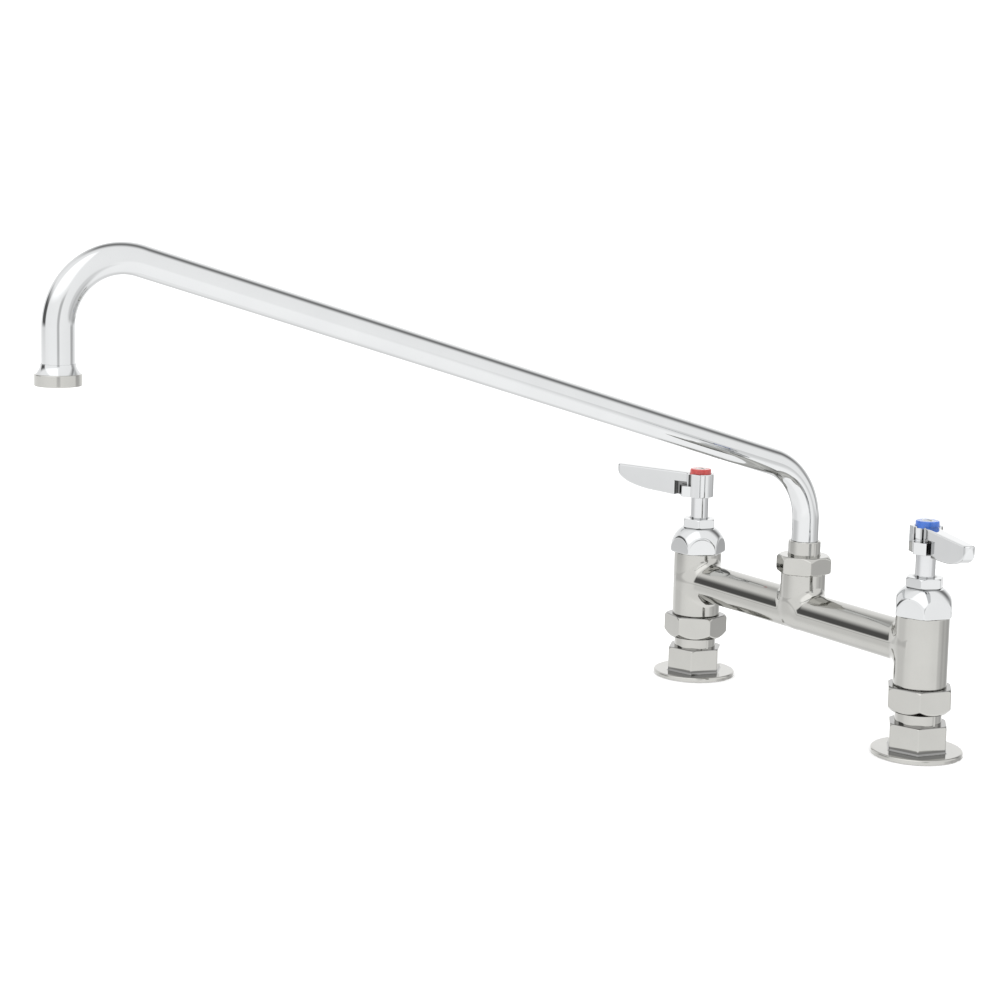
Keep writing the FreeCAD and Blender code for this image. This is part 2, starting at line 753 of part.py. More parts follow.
def outlet_ferrule():
    """Flared end of the spout, brazed on the tube, with a thread below."""
    thread_top = ferrule_bottom + ferrule_thread_length
    flare_top = thread_top + ferrule_flare_height
    lip = tube_radius + thread_gap + ferrule_lip
    below = Part.makePolygon([
        Vector(0, 0, flare_top),
        Vector(0, 0, ferrule_bottom),
        Vector(ferrule_thread_radius, 0, ferrule_bottom),
        Vector(ferrule_thread_radius, 0, thread_top),
        Vector(ferrule_flare_radius, 0, thread_top),
    ])
    flare = Part.BezierCurve()
    flare.setPoles([
        Vector(ferrule_flare_radius, 0, thread_top),
        Vector(lip, 0, (thread_top + flare_top) / 2),
        Vector(lip, 0, flare_top),
    ])
    above = Part.makePolygon([Vector(lip, 0, flare_top), Vector(0, 0, flare_top)])
    outline = Part.Wire(below.Edges + [flare.toShape()] + above.Edges)
    shape = Part.Face(outline).revolve(Vector(0, 0, 0), UP, FULL_TURN)
    shape = shape.cut([
        cylinder(tube_radius + thread_gap, tube_end, flare_top + cut_overrun),
        hole(tube_radius - tube_wall, ferrule_bottom, tube_end),
    ])
    return at_outlet(shape)


def at_outlet(shape):
    """Copy of the shape, moved from the Z axis to the outlet's axis."""
    copy = shape.copy()
    copy.translate(Vector(0, -spout_reach, 0))
    return copy


def outlet_ring():
    """Ring that screws on the ferrule and holds the screen."""
    top = outlet_bottom + outlet_ring_height
    blank = cylinder(outlet_ring_radius, outlet_bottom, top)
    blank = rounded(blank, outlet_ring_edge_radius, circle_at(outlet_ring_radius, outlet_bottom))
    blank = rounded(blank, outlet_ring_edge_radius, circle_at(outlet_ring_radius, top))
    shape = blank.cut(hole(outlet_mouth_radius, outlet_bottom, top))
    thread = cylinder(ferrule_thread_radius + thread_gap, outlet_bottom + outlet_ring_lip, top + cut_overrun)
    return at_outlet(shape.cut(thread))


def outlet_washer():
    """Rubber washer between the ferrule and the screen."""
    low = ferrule_bottom - outlet_washer_thickness
    ring = cylinder(ferrule_thread_radius, low, ferrule_bottom)
    return at_outlet(ring.cut(hole(outlet_washer_bore_radius, low, ferrule_bottom)))


def outlet_screen():
    """Disc with holes, which straightens the stream."""
    low = outlet_bottom + outlet_ring_lip
    high = ferrule_bottom - outlet_washer_thickness
    disc = cylinder(ferrule_thread_radius, low, high)
    count = int(outlet_mouth_radius / screen_hole_pitch)
    row_pitch = screen_hole_pitch * math.sqrt(3) / 2
    pins = []
    for row in range(-count, count + 1):
        for column in range(-count, count + 1):
            x = screen_hole_pitch * (column + (row % 2) / 2)
            y = row_pitch * row
            if math.hypot(x, y) + screen_hole_radius < outlet_washer_bore_radius:
                pin = hole(screen_hole_radius, low, high)
                pin.translate(Vector(x, y, 0))
                pins.append(pin)
    return at_outlet(disc.cut(pins))


def main():
    """Build every piece in place and write its file."""
    os.makedirs("parts", exist_ok=True)
    save("faucet_body", faucet_body())
    for side in sides:
        lever_turn = HALF_TURN + lever_turns[side] if side == "hot" else -lever_turns[side]
        pieces = {
            "inlet_flange": inlet_flange(inlet_hex_turns[side]),
            "inlet_tailpiece": inlet_tailpiece(),
            "coupling_nut": coupling_nut(coupling_turns[side]),
            "coupling_washer": coupling_washer(),
            "seat": seat(),
            "bonnet": bonnet(bonnet_turns[side]),
            "bonnet_gasket": bonnet_gasket(),
            "packing_nut": packing_nut(packing_nut_turns[side]),
            "packing": packing(),
            "spindle_ring": spindle_ring(),
            "spindle": turned_about_z(spindle(), lever_turn),
            "plunger": plunger(),
            "seat_washer": seat_washer(),
            "washer_screw": washer_screw(),
            "lever": turned_about_z(lever(), lever_turn),
            "lever_screw": lever_screw(),
            "index_button": index_button(),
        }
        for name, shape in pieces.items():
            save(side + "_" + name, at_column(shape, side))
    save("swivel_nut", swivel_nut())
    save("swivel_sleeve", swivel_sleeve())
    save("swivel_seals", swivel_seals())
    save("spout_tube", spout_tube())
    save("outlet_ferrule", outlet_ferrule())
    save("outlet_ring", outlet_ring())
    save("outlet_washer", outlet_washer())
    save("outlet_screen", outlet_screen())


main()
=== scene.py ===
import math

import bpy
import numpy as np
from mathutils import Matrix, Vector


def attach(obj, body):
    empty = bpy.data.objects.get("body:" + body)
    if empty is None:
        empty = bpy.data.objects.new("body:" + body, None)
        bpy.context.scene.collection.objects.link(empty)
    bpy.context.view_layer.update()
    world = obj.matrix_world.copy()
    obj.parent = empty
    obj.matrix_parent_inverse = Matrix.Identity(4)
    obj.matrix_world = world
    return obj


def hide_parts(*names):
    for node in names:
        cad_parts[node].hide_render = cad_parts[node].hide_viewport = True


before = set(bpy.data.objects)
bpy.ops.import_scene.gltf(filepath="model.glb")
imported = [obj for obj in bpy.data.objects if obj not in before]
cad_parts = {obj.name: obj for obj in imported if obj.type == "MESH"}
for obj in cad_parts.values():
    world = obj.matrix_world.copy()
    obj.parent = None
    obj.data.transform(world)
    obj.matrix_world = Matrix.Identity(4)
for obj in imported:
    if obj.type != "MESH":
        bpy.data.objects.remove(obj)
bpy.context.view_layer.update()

MM = 0.001

# Sizes and places, in mm
HALF_CENTRES = 101.6
SPOUT_REACH = 457.2
COUPLING_BOTTOM = 24.5
COUPLING_TOP = 38.7
COLUMN_TOP = 78.3
BAR_AXIS = 60.25
BOSS_TOP = 83.7
BONNET_TOP = 93.8
PACKING_NUT_TOP = 99.6
HUB_BOTTOM = 113.15
HUB_TOP = 127.8
LUG_TOP = HUB_BOTTOM + 6.8
HEX_TOP = 18.0
FLANGE_THICKNESS = 2.8
SWIVEL_NUT_TOP = 94.0
SLEEVE_TOP = 102.5
OUTLET_BOTTOM = 212.516
OUTLET_TOP = OUTLET_BOTTOM + 5.7
TUBE_RADIUS = 15.875 / 2
TUBE_WALL = 1.0
# what keeps the finer meshes inside the facets of the solids
TUBE_MARGIN = 0.04
FLANGE_MARGIN = 0.01
ARM_SLOPE = math.radians(17.05)
ARM_FOOT = BOSS_TOP + 58.9
ARM_HEAD = ARM_FOOT + SPOUT_REACH * math.tan(ARM_SLOPE)
LEVER_LENGTH = 61.5
LEVER_TURNS = {"hot": 20.8, "cold": 22.0}
HUB_RADIUS = 8.4
PAD_HALF_WIDTH = 8.6
PAD_BACK = 4.6
PAD_FRONT = 1.7
LUG_ROOT_HALF_WIDTH = 8.0
LUG_SHOULDER_REACH = 7.0
LUG_SHOULDER_HALF_WIDTH = 10.4
LUG_REACH = 12.0
LUG_TIP_HALF_WIDTH = 5.2
WEB_HALF_WIDTH = 1.5
GROOVE_START = 3.9
GROOVE_END = 6.0
GROOVE_DEPTH = 1.0
SCOOP_RADIUS = 3.2
GAP_END = LUG_REACH + 4.5
GAP_TOP = LUG_TOP + 1.8
BLADE_ROOT = 4.3
BLADE_TIP = 3.2
SIDES = {"hot": -1, "cold": 1}
# softness of edges that have no size of their own
SOFT_EDGE = 0.35
BORE_EDGE = 0.25
# rounds of pulling a net's points onto its surface, and the least squared slope that a pull trusts
PULL_ROUNDS = 4
LEAST_SLOPE = 0.2
TINY = 1e-6
# rounds in an outline wider than this get more steps
WIDE_ROUND = 0.6
WIDE_STEPS = 6
NARROW_STEPS = 4


# Mesh making
def new_mesh(name, points, faces, normals=None):
    """Mesh object from points in mm, with its own vertex normals where they are given."""
    mesh = bpy.data.meshes.new(name)
    mesh.from_pydata((np.asarray(points, float) * MM).tolist(), [], [list(map(int, f)) for f in faces])
    mesh.polygons.foreach_set("use_smooth", np.ones(len(mesh.polygons), bool))
    if normals is not None:
        mesh.normals_split_custom_set_from_vertices(np.asarray(normals, float).tolist())
    mesh.update()
    piece = bpy.data.objects.new(name, mesh)
    bpy.context.scene.collection.objects.link(piece)
    return piece


def gradient(field, points):
    """Unit slope of a field at the points."""
    step = 0.02
    slope = np.empty_like(points)
    for axis in range(3):
        shift = np.zeros(3)
        shift[axis] = step
        slope[:, axis] = (field(*(points + shift).T) - field(*(points - shift).T)) / (2 * step)
    return slope


def net(field, low, high, cell):
    """Surface where a distance field is zero: (points, four-sided faces, normals)."""
    low, high = np.array(low, float), np.array(high, float)
    count = np.ceil((high - low) / cell).astype(int) + 1
    axes = [low[k] + cell * np.arange(count[k]) for k in range(3)]
    values = field(*np.meshgrid(*axes, indexing="ij"))
    inside = values < 0
    cells = tuple(count - 1)
    total = np.zeros(cells + (3,))
    hits = np.zeros(cells)
    crossings = []
    for axis in range(3):
        first = [slice(None)] * 3
        second = [slice(None)] * 3
        first[axis], second[axis] = slice(None, -1), slice(1, None)
        a, b = values[tuple(first)], values[tuple(second)]
        where = np.argwhere(inside[tuple(first)] != inside[tuple(second)])
        i = tuple(where.T)
        share = a[i] / (a[i] - b[i])
        spot = low + cell * where
        spot[:, axis] += cell * share
        others = [k for k in range(3) if k != axis]
        good = np.ones(len(where), bool)
        for k in others:
            good &= (where[:, k] > 0) & (where[:, k] < count[k] - 1)
        for da in (0, -1):
            for db in (0, -1):
                corner = where.copy()
                corner[:, others[0]] += da
                corner[:, others[1]] += db
                ok = np.all((corner >= 0) & (corner < np.array(cells)), axis=1)
                c = tuple(corner[ok].T)
                np.add.at(total, c, spot[ok])
                np.add.at(hits, c, 1)
        crossings.append((axis, others, where[good], inside[tuple(first)][i][good]))
    used = hits > 0
    index = np.full(cells, -1)
    index[used] = np.arange(used.sum())
    points = total[used] / hits[used][:, None]
    faces = []
    for axis, others, where, outward in crossings:
        ring = []
        for da, db in ((0, 0), (-1, 0), (-1, -1), (0, -1)):
            corner = where.copy()
            corner[:, others[0]] += da
            corner[:, others[1]] += db
            ring.append(index[tuple(corner.T)])
        quad = np.stack(ring, axis=1)
        flip = outward if axis != 1 else ~outward
        quad[~flip] = quad[~flip][:, ::-1]
        faces.append(quad)
    faces = np.concatenate(faces)
    for _ in range(PULL_ROUNDS):
        slope = gradient(field, points)
        size = np.maximum((slope ** 2).sum(axis=1), LEAST_SLOPE)
        move = (field(*points.T) / size)[:, None] * slope
        points = points - np.clip(move, -cell / 2, cell / 2)
    slope = gradient(field, points)
    normals = slope / np.maximum(np.linalg.norm(slope, axis=1), TINY)[:, None]
    return points, faces, normals


def blend_union(a, b, r):
    """Union of two fields with a concave round of radius r."""
    u, v = np.maximum(r - a, 0), np.maximum(r - b, 0)
    return np.maximum(r, np.minimum(a, b)) - np.sqrt(u * u + v * v)


def round_cut(a, b, r):
    """Common part of two fields with a convex round of radius r."""
    u, v = np.maximum(r + a, 0), np.maximum(r + b, 0)
    return np.minimum(-r, np.maximum(a, b)) + np.sqrt(u * u + v * v)


def slab(z, low, high):
    """Distance to the layer between two heights."""
    return np.maximum(low - z, z - high)


def hexagon(x, y, flats):
    """Distance to a hexagonal prism with a corner on the X axis, with soft corners."""
    result = None
    for k in range(3):
        a = math.radians(30 + 60 * k)
        side = np.abs(x * math.cos(a) + y * math.sin(a)) - flats / 2
        result = side if result is None else round_cut(result, side, SOFT_EDGE)
    return result


def nut_field(flats, bottom, top, lower, upper, soft=SOFT_EDGE):
    """Hexagonal nut whose corners are turned off by lower and upper at its two ends."""
    corner = flats / math.sqrt(3)

    def field(x, y, z):
        r = np.hypot(x, y)
        f = round_cut(hexagon(x, y, flats), slab(z, bottom, top), soft)
        if upper:
            f = round_cut(f, (r - corner + z - top + upper) / math.sqrt(2), soft)
        if lower:
            f = round_cut(f, (r - corner - z + bottom + lower) / math.sqrt(2), soft)
        return f
    return field


def drilled(field, radius, soft=BORE_EDGE):
    """Field with a round hole right through it about Z."""
    def cut(x, y, z):
        return round_cut(field(x, y, z), radius - np.hypot(x, y), soft)
    return cut


def profile(corners):
    """Closed outline of (radius, height, rounding) corners as points with normals, rounded by arcs."""
    count = len(corners)
    points, normals = [], []
    for k in range(count):
        here = np.array(corners[k][:2], float)
        before = np.array(corners[k - 1][:2], float)
        after = np.array(corners[(k + 1) % count][:2], float)
        into, out = here - before, after - here
        into, out = into / np.linalg.norm(into), out / np.linalg.norm(out)
        n_in = np.array([into[1], -into[0]])
        turn = math.atan2(into[0] * out[1] - into[1] * out[0], float(into @ out))
        radius = corners[k][2]
        reach = radius * math.tan(abs(turn) / 2)
        steps = WIDE_STEPS if radius > WIDE_ROUND else NARROW_STEPS
        for s in range(steps + 1):
            angle = turn * s / steps
            c, d = math.cos(angle), math.sin(angle)
            normal = np.array([n_in[0] * c - n_in[1] * d, n_in[0] * d + n_in[1] * c])
            side = 1 if turn > 0 else -1
            centre = here - into * reach - side * n_in * radius
            points.append(centre + side * normal * radius)
            normals.append(normal)
    return points, normals


def lathe(name, corners, centre=(0, 0), steps=128):
    """Ring or disc turned about Z from a closed outline that runs counter-clockwise in (radius, height)."""
    line, side = profile(corners)
    points, normals, faces = [], [], []
    n = len(line)
    for s in range(steps):
        a = 2 * math.pi * s / steps
        c, d = math.cos(a), math.sin(a)
        for p, q in zip(line, side):
            points.append((max(p[0], 0.0) * c + centre[0], max(p[0], 0.0) * d + centre[1], p[1]))
            normals.append((q[0] * c, q[0] * d, q[1]))
    for s in range(steps):
        t = (s + 1) % steps
        for k in range(n):
            m = (k + 1) % n
            faces.append((s * n + k, t * n + k, t * n + m, s * n + m))
    return new_mesh(name, points, faces, normals)


def spin_matrix(degrees):
    """Rotation about Z."""
    c, d = math.cos(math.radians(degrees)), math.sin(math.radians(degrees))
    return np.array([[c, -d, 0], [d, c, 0], [0, 0, 1]])


def netted(name, field, box, cell, turn=0.0, offset=(0, 0), joint=None):
    """Piece from a field, turned about Z and moved in X and Y, with its share of painted shade at each point.
    """
    points, faces, normals = net(field, *box, cell)
    shares = joint(np.hypot(points[:, 0], points[:, 1]), points[:, 2]) if joint else None
    spin = spin_matrix(turn)
    points = points @ spin.T + np.array([offset[0], offset[1], 0])
    points[:, 2] = np.maximum(points[:, 2], 0)
    piece = new_mesh(name, points, faces, normals @ spin.T)
    if joint:
        mark_painted_shade(piece, shares)
    return piece


def round_box(half, bottom, top):
    """Box about Z that a field is sampled in: (lowest corner, highest corner)."""
    return (-half, -half, bottom), (half, half, top)


def mark_painted_shade(piece, shares):
    """Store at each point how strongly it gets painted shade, for the materials."""
    piece.data.attributes.new(PAINTED_SHADE, "FLOAT", "POINT").data.foreach_set("value", shares.astype(float))


# Camera
IMAGE_SIZE = 1000
FOCAL_LENGTH = 2151.45
CENTRE_X = 515.39
CENTRE_Y = 435.87
SENSOR_WIDTH = 36
CAMERA_PLACE = (0.95387, -0.81577, 0.32984)
CAMERA_YAW = math.radians(57.300)
CAMERA_PITCH = math.radians(7.768)
CAMERA_ROLL = math.radians(1.3445)
NEAREST_SEEN = 0.01
FARTHEST_SEEN = 50


def place_camera():
    """Camera of the photo: its place in metres, its focal length and centre in pixels of a square image."""
    level = math.cos(CAMERA_PITCH)
    look = Vector((-math.sin(CAMERA_YAW) * level, math.cos(CAMERA_YAW) * level, -math.sin(CAMERA_PITCH)))
    right = look.cross(Vector((0, 0, 1))).normalized()
    up = right.cross(look)
    side = math.cos(CAMERA_ROLL) * right + math.sin(CAMERA_ROLL) * up
    top = -math.sin(CAMERA_ROLL) * right + math.cos(CAMERA_ROLL) * up
    data = bpy.data.cameras.new("camera")
    data.sensor_width = SENSOR_WIDTH
    data.lens = FOCAL_LENGTH / IMAGE_SIZE * SENSOR_WIDTH
    data.shift_x = (IMAGE_SIZE / 2 - CENTRE_X) / IMAGE_SIZE
    data.shift_y = (CENTRE_Y - IMAGE_SIZE / 2) / IMAGE_SIZE
    data.clip_start = NEAREST_SEEN
    data.clip_end = FARTHEST_SEEN
    camera = bpy.data.objects.new("camera", data)
    bpy.context.scene.collection.objects.link(camera)
    turn = Matrix((side, top, -look)).transposed()
    camera.matrix_world = Matrix.Translation(CAMERA_PLACE) @ turn.to_4x4()
    bpy.context.scene.camera = camera


place_camera()


# Materials

# mesh attribute for painted shade: how strongly a point is darkened where shadow and dark reflections fall in
# joints, gaps and ledges
PAINTED_SHADE = "joint"
# colour of the painted shade in joints, gaps and ledges
PAINTED_SHADE_COLOUR = (0.20, 0.20, 0.20)
# sockets of a mix node's two colours, its colour result, and its two numbers
MIX_COLOUR_A = 6
MIX_COLOUR_B = 7
MIX_COLOUR_OUT = 2
MIX_NUMBER_A = 2
MIX_NUMBER_B = 3


class Tree:
    """Small helper that adds nodes to a material or a world."""

    def __init__(self, tree):
        self.tree = tree
        tree.nodes.clear()

    def add(self, kind, **settings):
        node = self.tree.nodes.new(kind)
        for key, value in settings.items():
            setattr(node, key, value)
        return node

    def join(self, source, target):
        self.tree.links.new(source, target)

    def put(self, socket, value):
        if isinstance(value, bpy.types.NodeSocket):
            self.join(value, socket)
        elif value is not None:
            socket.default_value = value

    def math(self, operation, a, b=None, c=None):
        node = self.add("ShaderNodeMath", operation=operation)
        for socket, value in zip(node.inputs, (a, b, c)):
            self.put(socket, value)
        return node.outputs[0]

    def noise(self, vector, scale, detail=3.0, rough=0.5):
        node = self.add("ShaderNodeTexNoise")
        self.join(vector, node.inputs["Vector"])
        node.inputs["Scale"].default_value = scale
        node.inputs["Detail"].default_value = detail
        node.inputs["Roughness"].default_value = rough
        return node.outputs["Fac"]

    def spread(self, value, low, high, to_low, to_high):
        node = self.add("ShaderNodeMapRange", interpolation_type="SMOOTHSTEP")
        for socket, v in zip(node.inputs, (value, low, high, to_low, to_high)):
            self.put(socket, v)
        return node.outputs[0]

    def tint(self, fac, stops):
        node = self.add("ShaderNodeValToRGB")
        ramp = node.color_ramp
        while len(ramp.elements) < len(stops):
            ramp.elements.new(0.5)
        for element, (place, colour) in zip(ramp.elements, stops):
            element.position = place
            element.color = (*colour, 1)
        self.join(fac, node.inputs[0])
        return node.outputs[0]

    def bump(self, height, strength, distance, normal=None):
        node = self.add("ShaderNodeBump")
        node.inputs["Strength"].default_value = strength
        node.inputs["Distance"].default_value = distance
        self.join(height, node.inputs["Height"])
        if normal is not None:
            self.join(normal, node.inputs["Normal"])
        return node.outputs[0]


def shader(name, metallic=1.0, coat=0.0, coat_rough=0.03, specular=0.5):
    """New material with one principled shader: (material, tree helper, shader node, object coordinates)."""
    material = bpy.data.materials.new(name)
    material.use_nodes = True
    t = Tree(material.node_tree)
    out = t.add("ShaderNodeOutputMaterial")
    body = t.add("ShaderNodeBsdfPrincipled")
    t.join(body.outputs[0], out.inputs[0])
    body.inputs["Metallic"].default_value = metallic
    body.inputs["Coat Weight"].default_value = coat
    body.inputs["Coat Roughness"].default_value = coat_rough
    body.inputs["Specular IOR Level"].default_value = specular
    place = t.add("ShaderNodeTexCoord").outputs["Object"]
    return material, t, body, place


def chrome(name, light, dark, smooth, dull, wave, wave_scale):
    """Polished chrome plate: slow waves, faint haze, wiped marks, hairlines and painted shade in the marked
    joints and ledges.
    """
    material, t, body, place = shader(name)
    haze = t.noise(place, scale=38, detail=4, rough=0.6)
    # painted shade: a dark colour mixed into the plate wherever the mesh attribute marks a point
    joint = t.add("ShaderNodeAttribute", attribute_name=PAINTED_SHADE)
    plate = t.add("ShaderNodeMix", data_type="RGBA")
    t.join(joint.outputs["Fac"], plate.inputs["Factor"])
    t.join(t.tint(haze, [(0.3, dark), (0.7, light)]), plate.inputs[MIX_COLOUR_A])
    plate.inputs[MIX_COLOUR_B].default_value = (*PAINTED_SHADE_COLOUR, 1)
    t.join(plate.outputs[MIX_COLOUR_OUT], body.inputs["Base Color"])
    wiped = t.add("ShaderNodeMapping")
    wiped.inputs["Scale"].default_value = (1.0, 1.0, 7.0)
    wiped.inputs["Rotation"].default_value = (0.4, 0.2, 0.0)
    t.join(place, wiped.inputs["Vector"])
    marks = t.noise(wiped.outputs[0], scale=160, detail=5, rough=0.65)
    rough = t.spread(t.math("MULTIPLY", haze, marks), low=0.18, high=0.42, to_low=smooth, to_high=dull)
    t.join(rough, body.inputs["Roughness"])
    slow = t.noise(place, scale=wave_scale, detail=2, rough=0.4)
    hair = t.noise(wiped.outputs[0], scale=1400, detail=2, rough=0.5)
    first = t.bump(slow, strength=wave, distance=0.001)
    t.join(t.bump(hair, strength=0.02, distance=0.00005, normal=first), body.inputs["Normal"])
    return material


CAST = chrome("cast_chrome", light=(0.453, 0.450, 0.430), dark=(0.427, 0.424, 0.405),
              smooth=0.035, dull=0.075, wave=0.035, wave_scale=55)
BRIGHT = chrome("bright_chrome", light=(0.590, 0.598, 0.602), dark=(0.570, 0.578, 0.583),
                smooth=0.02, dull=0.05, wave=0.02, wave_scale=45)
STEM = chrome("stem_chrome", light=(0.580, 0.586, 0.594), dark=(0.550, 0.556, 0.564),
              smooth=0.03, dull=0.07, wave=0.02, wave_scale=60)


def enamel(name, light, dark):
    """Index button: glossy coloured enamel with a little orange peel and depth."""
    material, t, body, place = shader(name, metallic=0.0, coat=0.6, coat_rough=0.04)
    cloud = t.noise(place, scale=300, detail=3, rough=0.5)
    t.join(t.tint(cloud, [(0.3, dark), (0.7, light)]), body.inputs["Base Color"])
    grain = t.noise(place, scale=900, detail=3, rough=0.6)
    t.join(t.spread(grain, low=0.3, high=0.7, to_low=0.18, to_high=0.32), body.inputs["Roughness"])
    peel = t.noise(place, scale=1500, detail=2, rough=0.5)
    t.join(t.bump(peel, strength=0.05, distance=0.0001), body.inputs["Normal"])
    return material


RED = enamel("index_red", light=(0.43, 0.026, 0.022), dark=(0.36, 0.020, 0.017))
BLUE = enamel("index_blue", light=(0.012, 0.110, 0.47), dark=(0.010, 0.085, 0.39))


def machined(name, light, dark, smooth, dull):
    """Turned metal: fine rings round the axis, with stains."""
    material, t, body, place = shader(name)
    stain = t.noise(place, scale=120, detail=5, rough=0.6)
    t.join(t.tint(stain, [(0.25, dark), (0.75, light)]), body.inputs["Base Color"])
    grain = t.noise(place, scale=500, detail=4, rough=0.6)
    t.join(t.spread(grain, low=0.3, high=0.7, to_low=smooth, to_high=dull), body.inputs["Roughness"])
    rings = t.add("ShaderNodeTexWave", wave_type="BANDS", bands_direction="Z")
    rings.inputs["Scale"].default_value = 900
    rings.inputs["Distortion"].default_value = 1.5
    t.join(place, rings.inputs["Vector"])
    t.join(t.bump(rings.outputs["Fac"], strength=0.12, distance=0.0001), body.inputs["Normal"])
    return material


def matt(name, light, dark, smooth, dull, grain, bump):
    """Rubber or packing: dull, with a fine grain."""
    material, t, body, place = shader(name, metallic=0.0)
    cloud = t.noise(place, scale=grain / 5, detail=4, rough=0.6)
    t.join(t.tint(cloud, [(0.3, dark), (0.7, light)]), body.inputs["Base Color"])
    fine = t.noise(place, scale=grain, detail=3, rough=0.6)
    t.join(t.spread(fine, low=0.3, high=0.7, to_low=smooth, to_high=dull), body.inputs["Roughness"])
    pits = t.noise(place, scale=grain, detail=4, rough=0.7)
    t.join(t.bump(pits, strength=bump, distance=0.0002), body.inputs["Normal"])
    return material


BRASS = machined("turned_brass", light=(0.80, 0.58, 0.26), dark=(0.62, 0.42, 0.17), smooth=0.22, dull=0.38)
STEEL = machined("screw_steel", light=(0.56, 0.57, 0.55), dark=(0.44, 0.45, 0.43), smooth=0.18, dull=0.34)
RUBBER = matt("black_rubber", light=(0.035, 0.035, 0.037), dark=(0.020, 0.020, 0.022),
              smooth=0.5, dull=0.7, grain=1800, bump=0.25)
PACKING = matt("fibre_packing", light=(0.72, 0.70, 0.66), dark=(0.60, 0.58, 0.54),
               smooth=0.45, dull=0.65, grain=1200, bump=0.4)


# Piece maker
def dressed(piece, body, material, slot, *nodes):
    """Give a new piece its material, its body and the nodes that it stands for."""
    piece.data.materials.append(material)
    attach(piece, body)
    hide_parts(*nodes)
    return piece


# Body
BAR_RADIUS = 11.7
BOSS_RADIUS = 13.1
BOSS_DEPTH = 10.0
BOSS_TOP_EDGE = 0.4
CHIN_SLOPE = 0.8
CHIN_ROUND = 5.0
COLUMN_RADIUS = 14.8
COLUMN_EDGE = 0.45
CAST_FILLET = 4.0
BODY_BOX = (-118, -16.2, 37.5), (118, 16.2, 85.2)


def body_field(x, y, z):
    """Casting: a bar with a boss in its middle and a column at each end."""
    up = z - BAR_AXIS
    r = np.hypot(x, y)
    bar = np.maximum(np.hypot(y, up) - BAR_RADIUS, np.abs(x) - HALF_CENTRES)
    chin = (r - BOSS_RADIUS - CHIN_SLOPE * up) / math.hypot(1, CHIN_SLOPE)
    boss = round_cut(np.maximum(r - BOSS_RADIUS, -up - BOSS_DEPTH), chin, CHIN_ROUND)
    boss = round_cut(boss, z - BOSS_TOP, BOSS_TOP_EDGE)
    shape = blend_union(bar, boss, CAST_FILLET)
    column = np.hypot(np.abs(x) - HALF_CENTRES, y) - COLUMN_RADIUS
    column = round_cut(column, slab(z, COUPLING_TOP, COLUMN_TOP), COLUMN_EDGE)
    return blend_union(shape, column, CAST_FILLET)


body = netted("body", body_field, BODY_BOX, cell=0.75)
dressed(body, "faucet_frame", CAST, "body_chrome", "faucet_body")


# Flanges, nuts and necks

# how each hexagon is turned, in degrees
HEX_TURNS = {"hot": 16.3, "cold": 19.25}
COUPLING_TURNS = {"hot": 50.3, "cold": 18.65}
BONNET_TURNS = {"hot": 2.3, "cold": 18.25}
PACKING_TURNS = {"hot": 22.0, "cold": 8.0}
SWIVEL_TURN = 34.8
FLANGE_RADIUS = 25.4
FLANGE_EDGE = 1.0
FLANGE_FILLET = 1.1
HEX_FLATS = 30.8
# the hexagon starts under the deck, so that its foot has no soft edge there
HEX_FOOT = -1
HEX_CORNER_CUT = 1.0
INLET_RADIUS = 9.4
INLET_DEPTH = 13.5
NECK_BORE = 8.0
NECK_RADIUS = 12.9
NECK_EDGE = 0.3
COLLAR_RADIUS = 14.3
COLLAR_BOTTOM = 28.0
COLLAR_TOP = 30.5
COUPLING_FLATS = 34.0
COUPLING_BORE = 13.0
COUPLING_EDGE = 0.4
BONNET_FLATS = 30.2
BONNET_SHOULDER = COLUMN_TOP + 3.7
BONNET_TOP_RADIUS = 10.6
BONNET_CORNER_CUT = 0.8
BONNET_EDGE = 0.5
BONNET_BORE = 7.5
PACKING_FLATS = 19.05
PACKING_BORE = 5.6
PACKING_EDGE = 0.25
SWIVEL_FLATS = 28.8
SWIVEL_BORE = 9.55
SWIVEL_EDGE = 0.4
# how strong the painted shade in the joints and on the ledges is, and where it starts and ends
FOOT_SHADE = 0.85
LEDGE_SHADE = 0.7
GLAND_SHADE = 0.8
FOOT_SHADE_BOTTOM = FLANGE_THICKNESS + 0.15
FOOT_SHADE_TOP = FLANGE_THICKNESS + 2.2
HEX_LEDGE_BOTTOM = HEX_TOP - 0.35
HEX_LEDGE_INNER = 13.0
NUT_LEDGE_BOTTOM = COUPLING_TOP - 0.4
NUT_LEDGE_INNER = 14.6
GLAND_FOOT_TOP = BONNET_TOP + 0.45
GLAND_TOP_BOTTOM = PACKING_NUT_TOP - 0.3
GLAND_TOP_OUTER = 6.6


def flange_field(x, y, z):
    """Round flange with its hexagon, drilled for the inlet."""
    r = np.hypot(x, y)
    disc = round_cut(r - FLANGE_RADIUS + FLANGE_MARGIN, z - FLANGE_THICKNESS, FLANGE_EDGE)
    disc = np.maximum(disc, -z)
    block = nut_field(HEX_FLATS, HEX_FOOT, HEX_TOP, lower=0, upper=HEX_CORNER_CUT)(x, y, z)
    shape = blend_union(disc, np.maximum(block, -z), FLANGE_FILLET)
    return np.maximum(shape, -np.maximum(r - INLET_RADIUS, z - INLET_DEPTH))


def bonnet_field(x, y, z):
    """Hexagon under a dome that runs from its corners at the shoulder to its flat top."""
    corner = BONNET_FLATS / math.sqrt(3)
    across = BONNET_TOP_RADIUS ** 2 + BONNET_TOP ** 2 - corner ** 2 - BONNET_SHOULDER ** 2
    centre = across / (2 * (BONNET_TOP - BONNET_SHOULDER))
    radius = math.hypot(BONNET_TOP_RADIUS, BONNET_TOP - centre)
    dome = np.sqrt(x * x + y * y + (z - centre) ** 2) - radius
    block = nut_field(BONNET_FLATS, COLUMN_TOP, BONNET_TOP, lower=BONNET_CORNER_CUT, upper=0)(x, y, z)
    return round_cut(block, dome, BONNET_EDGE)


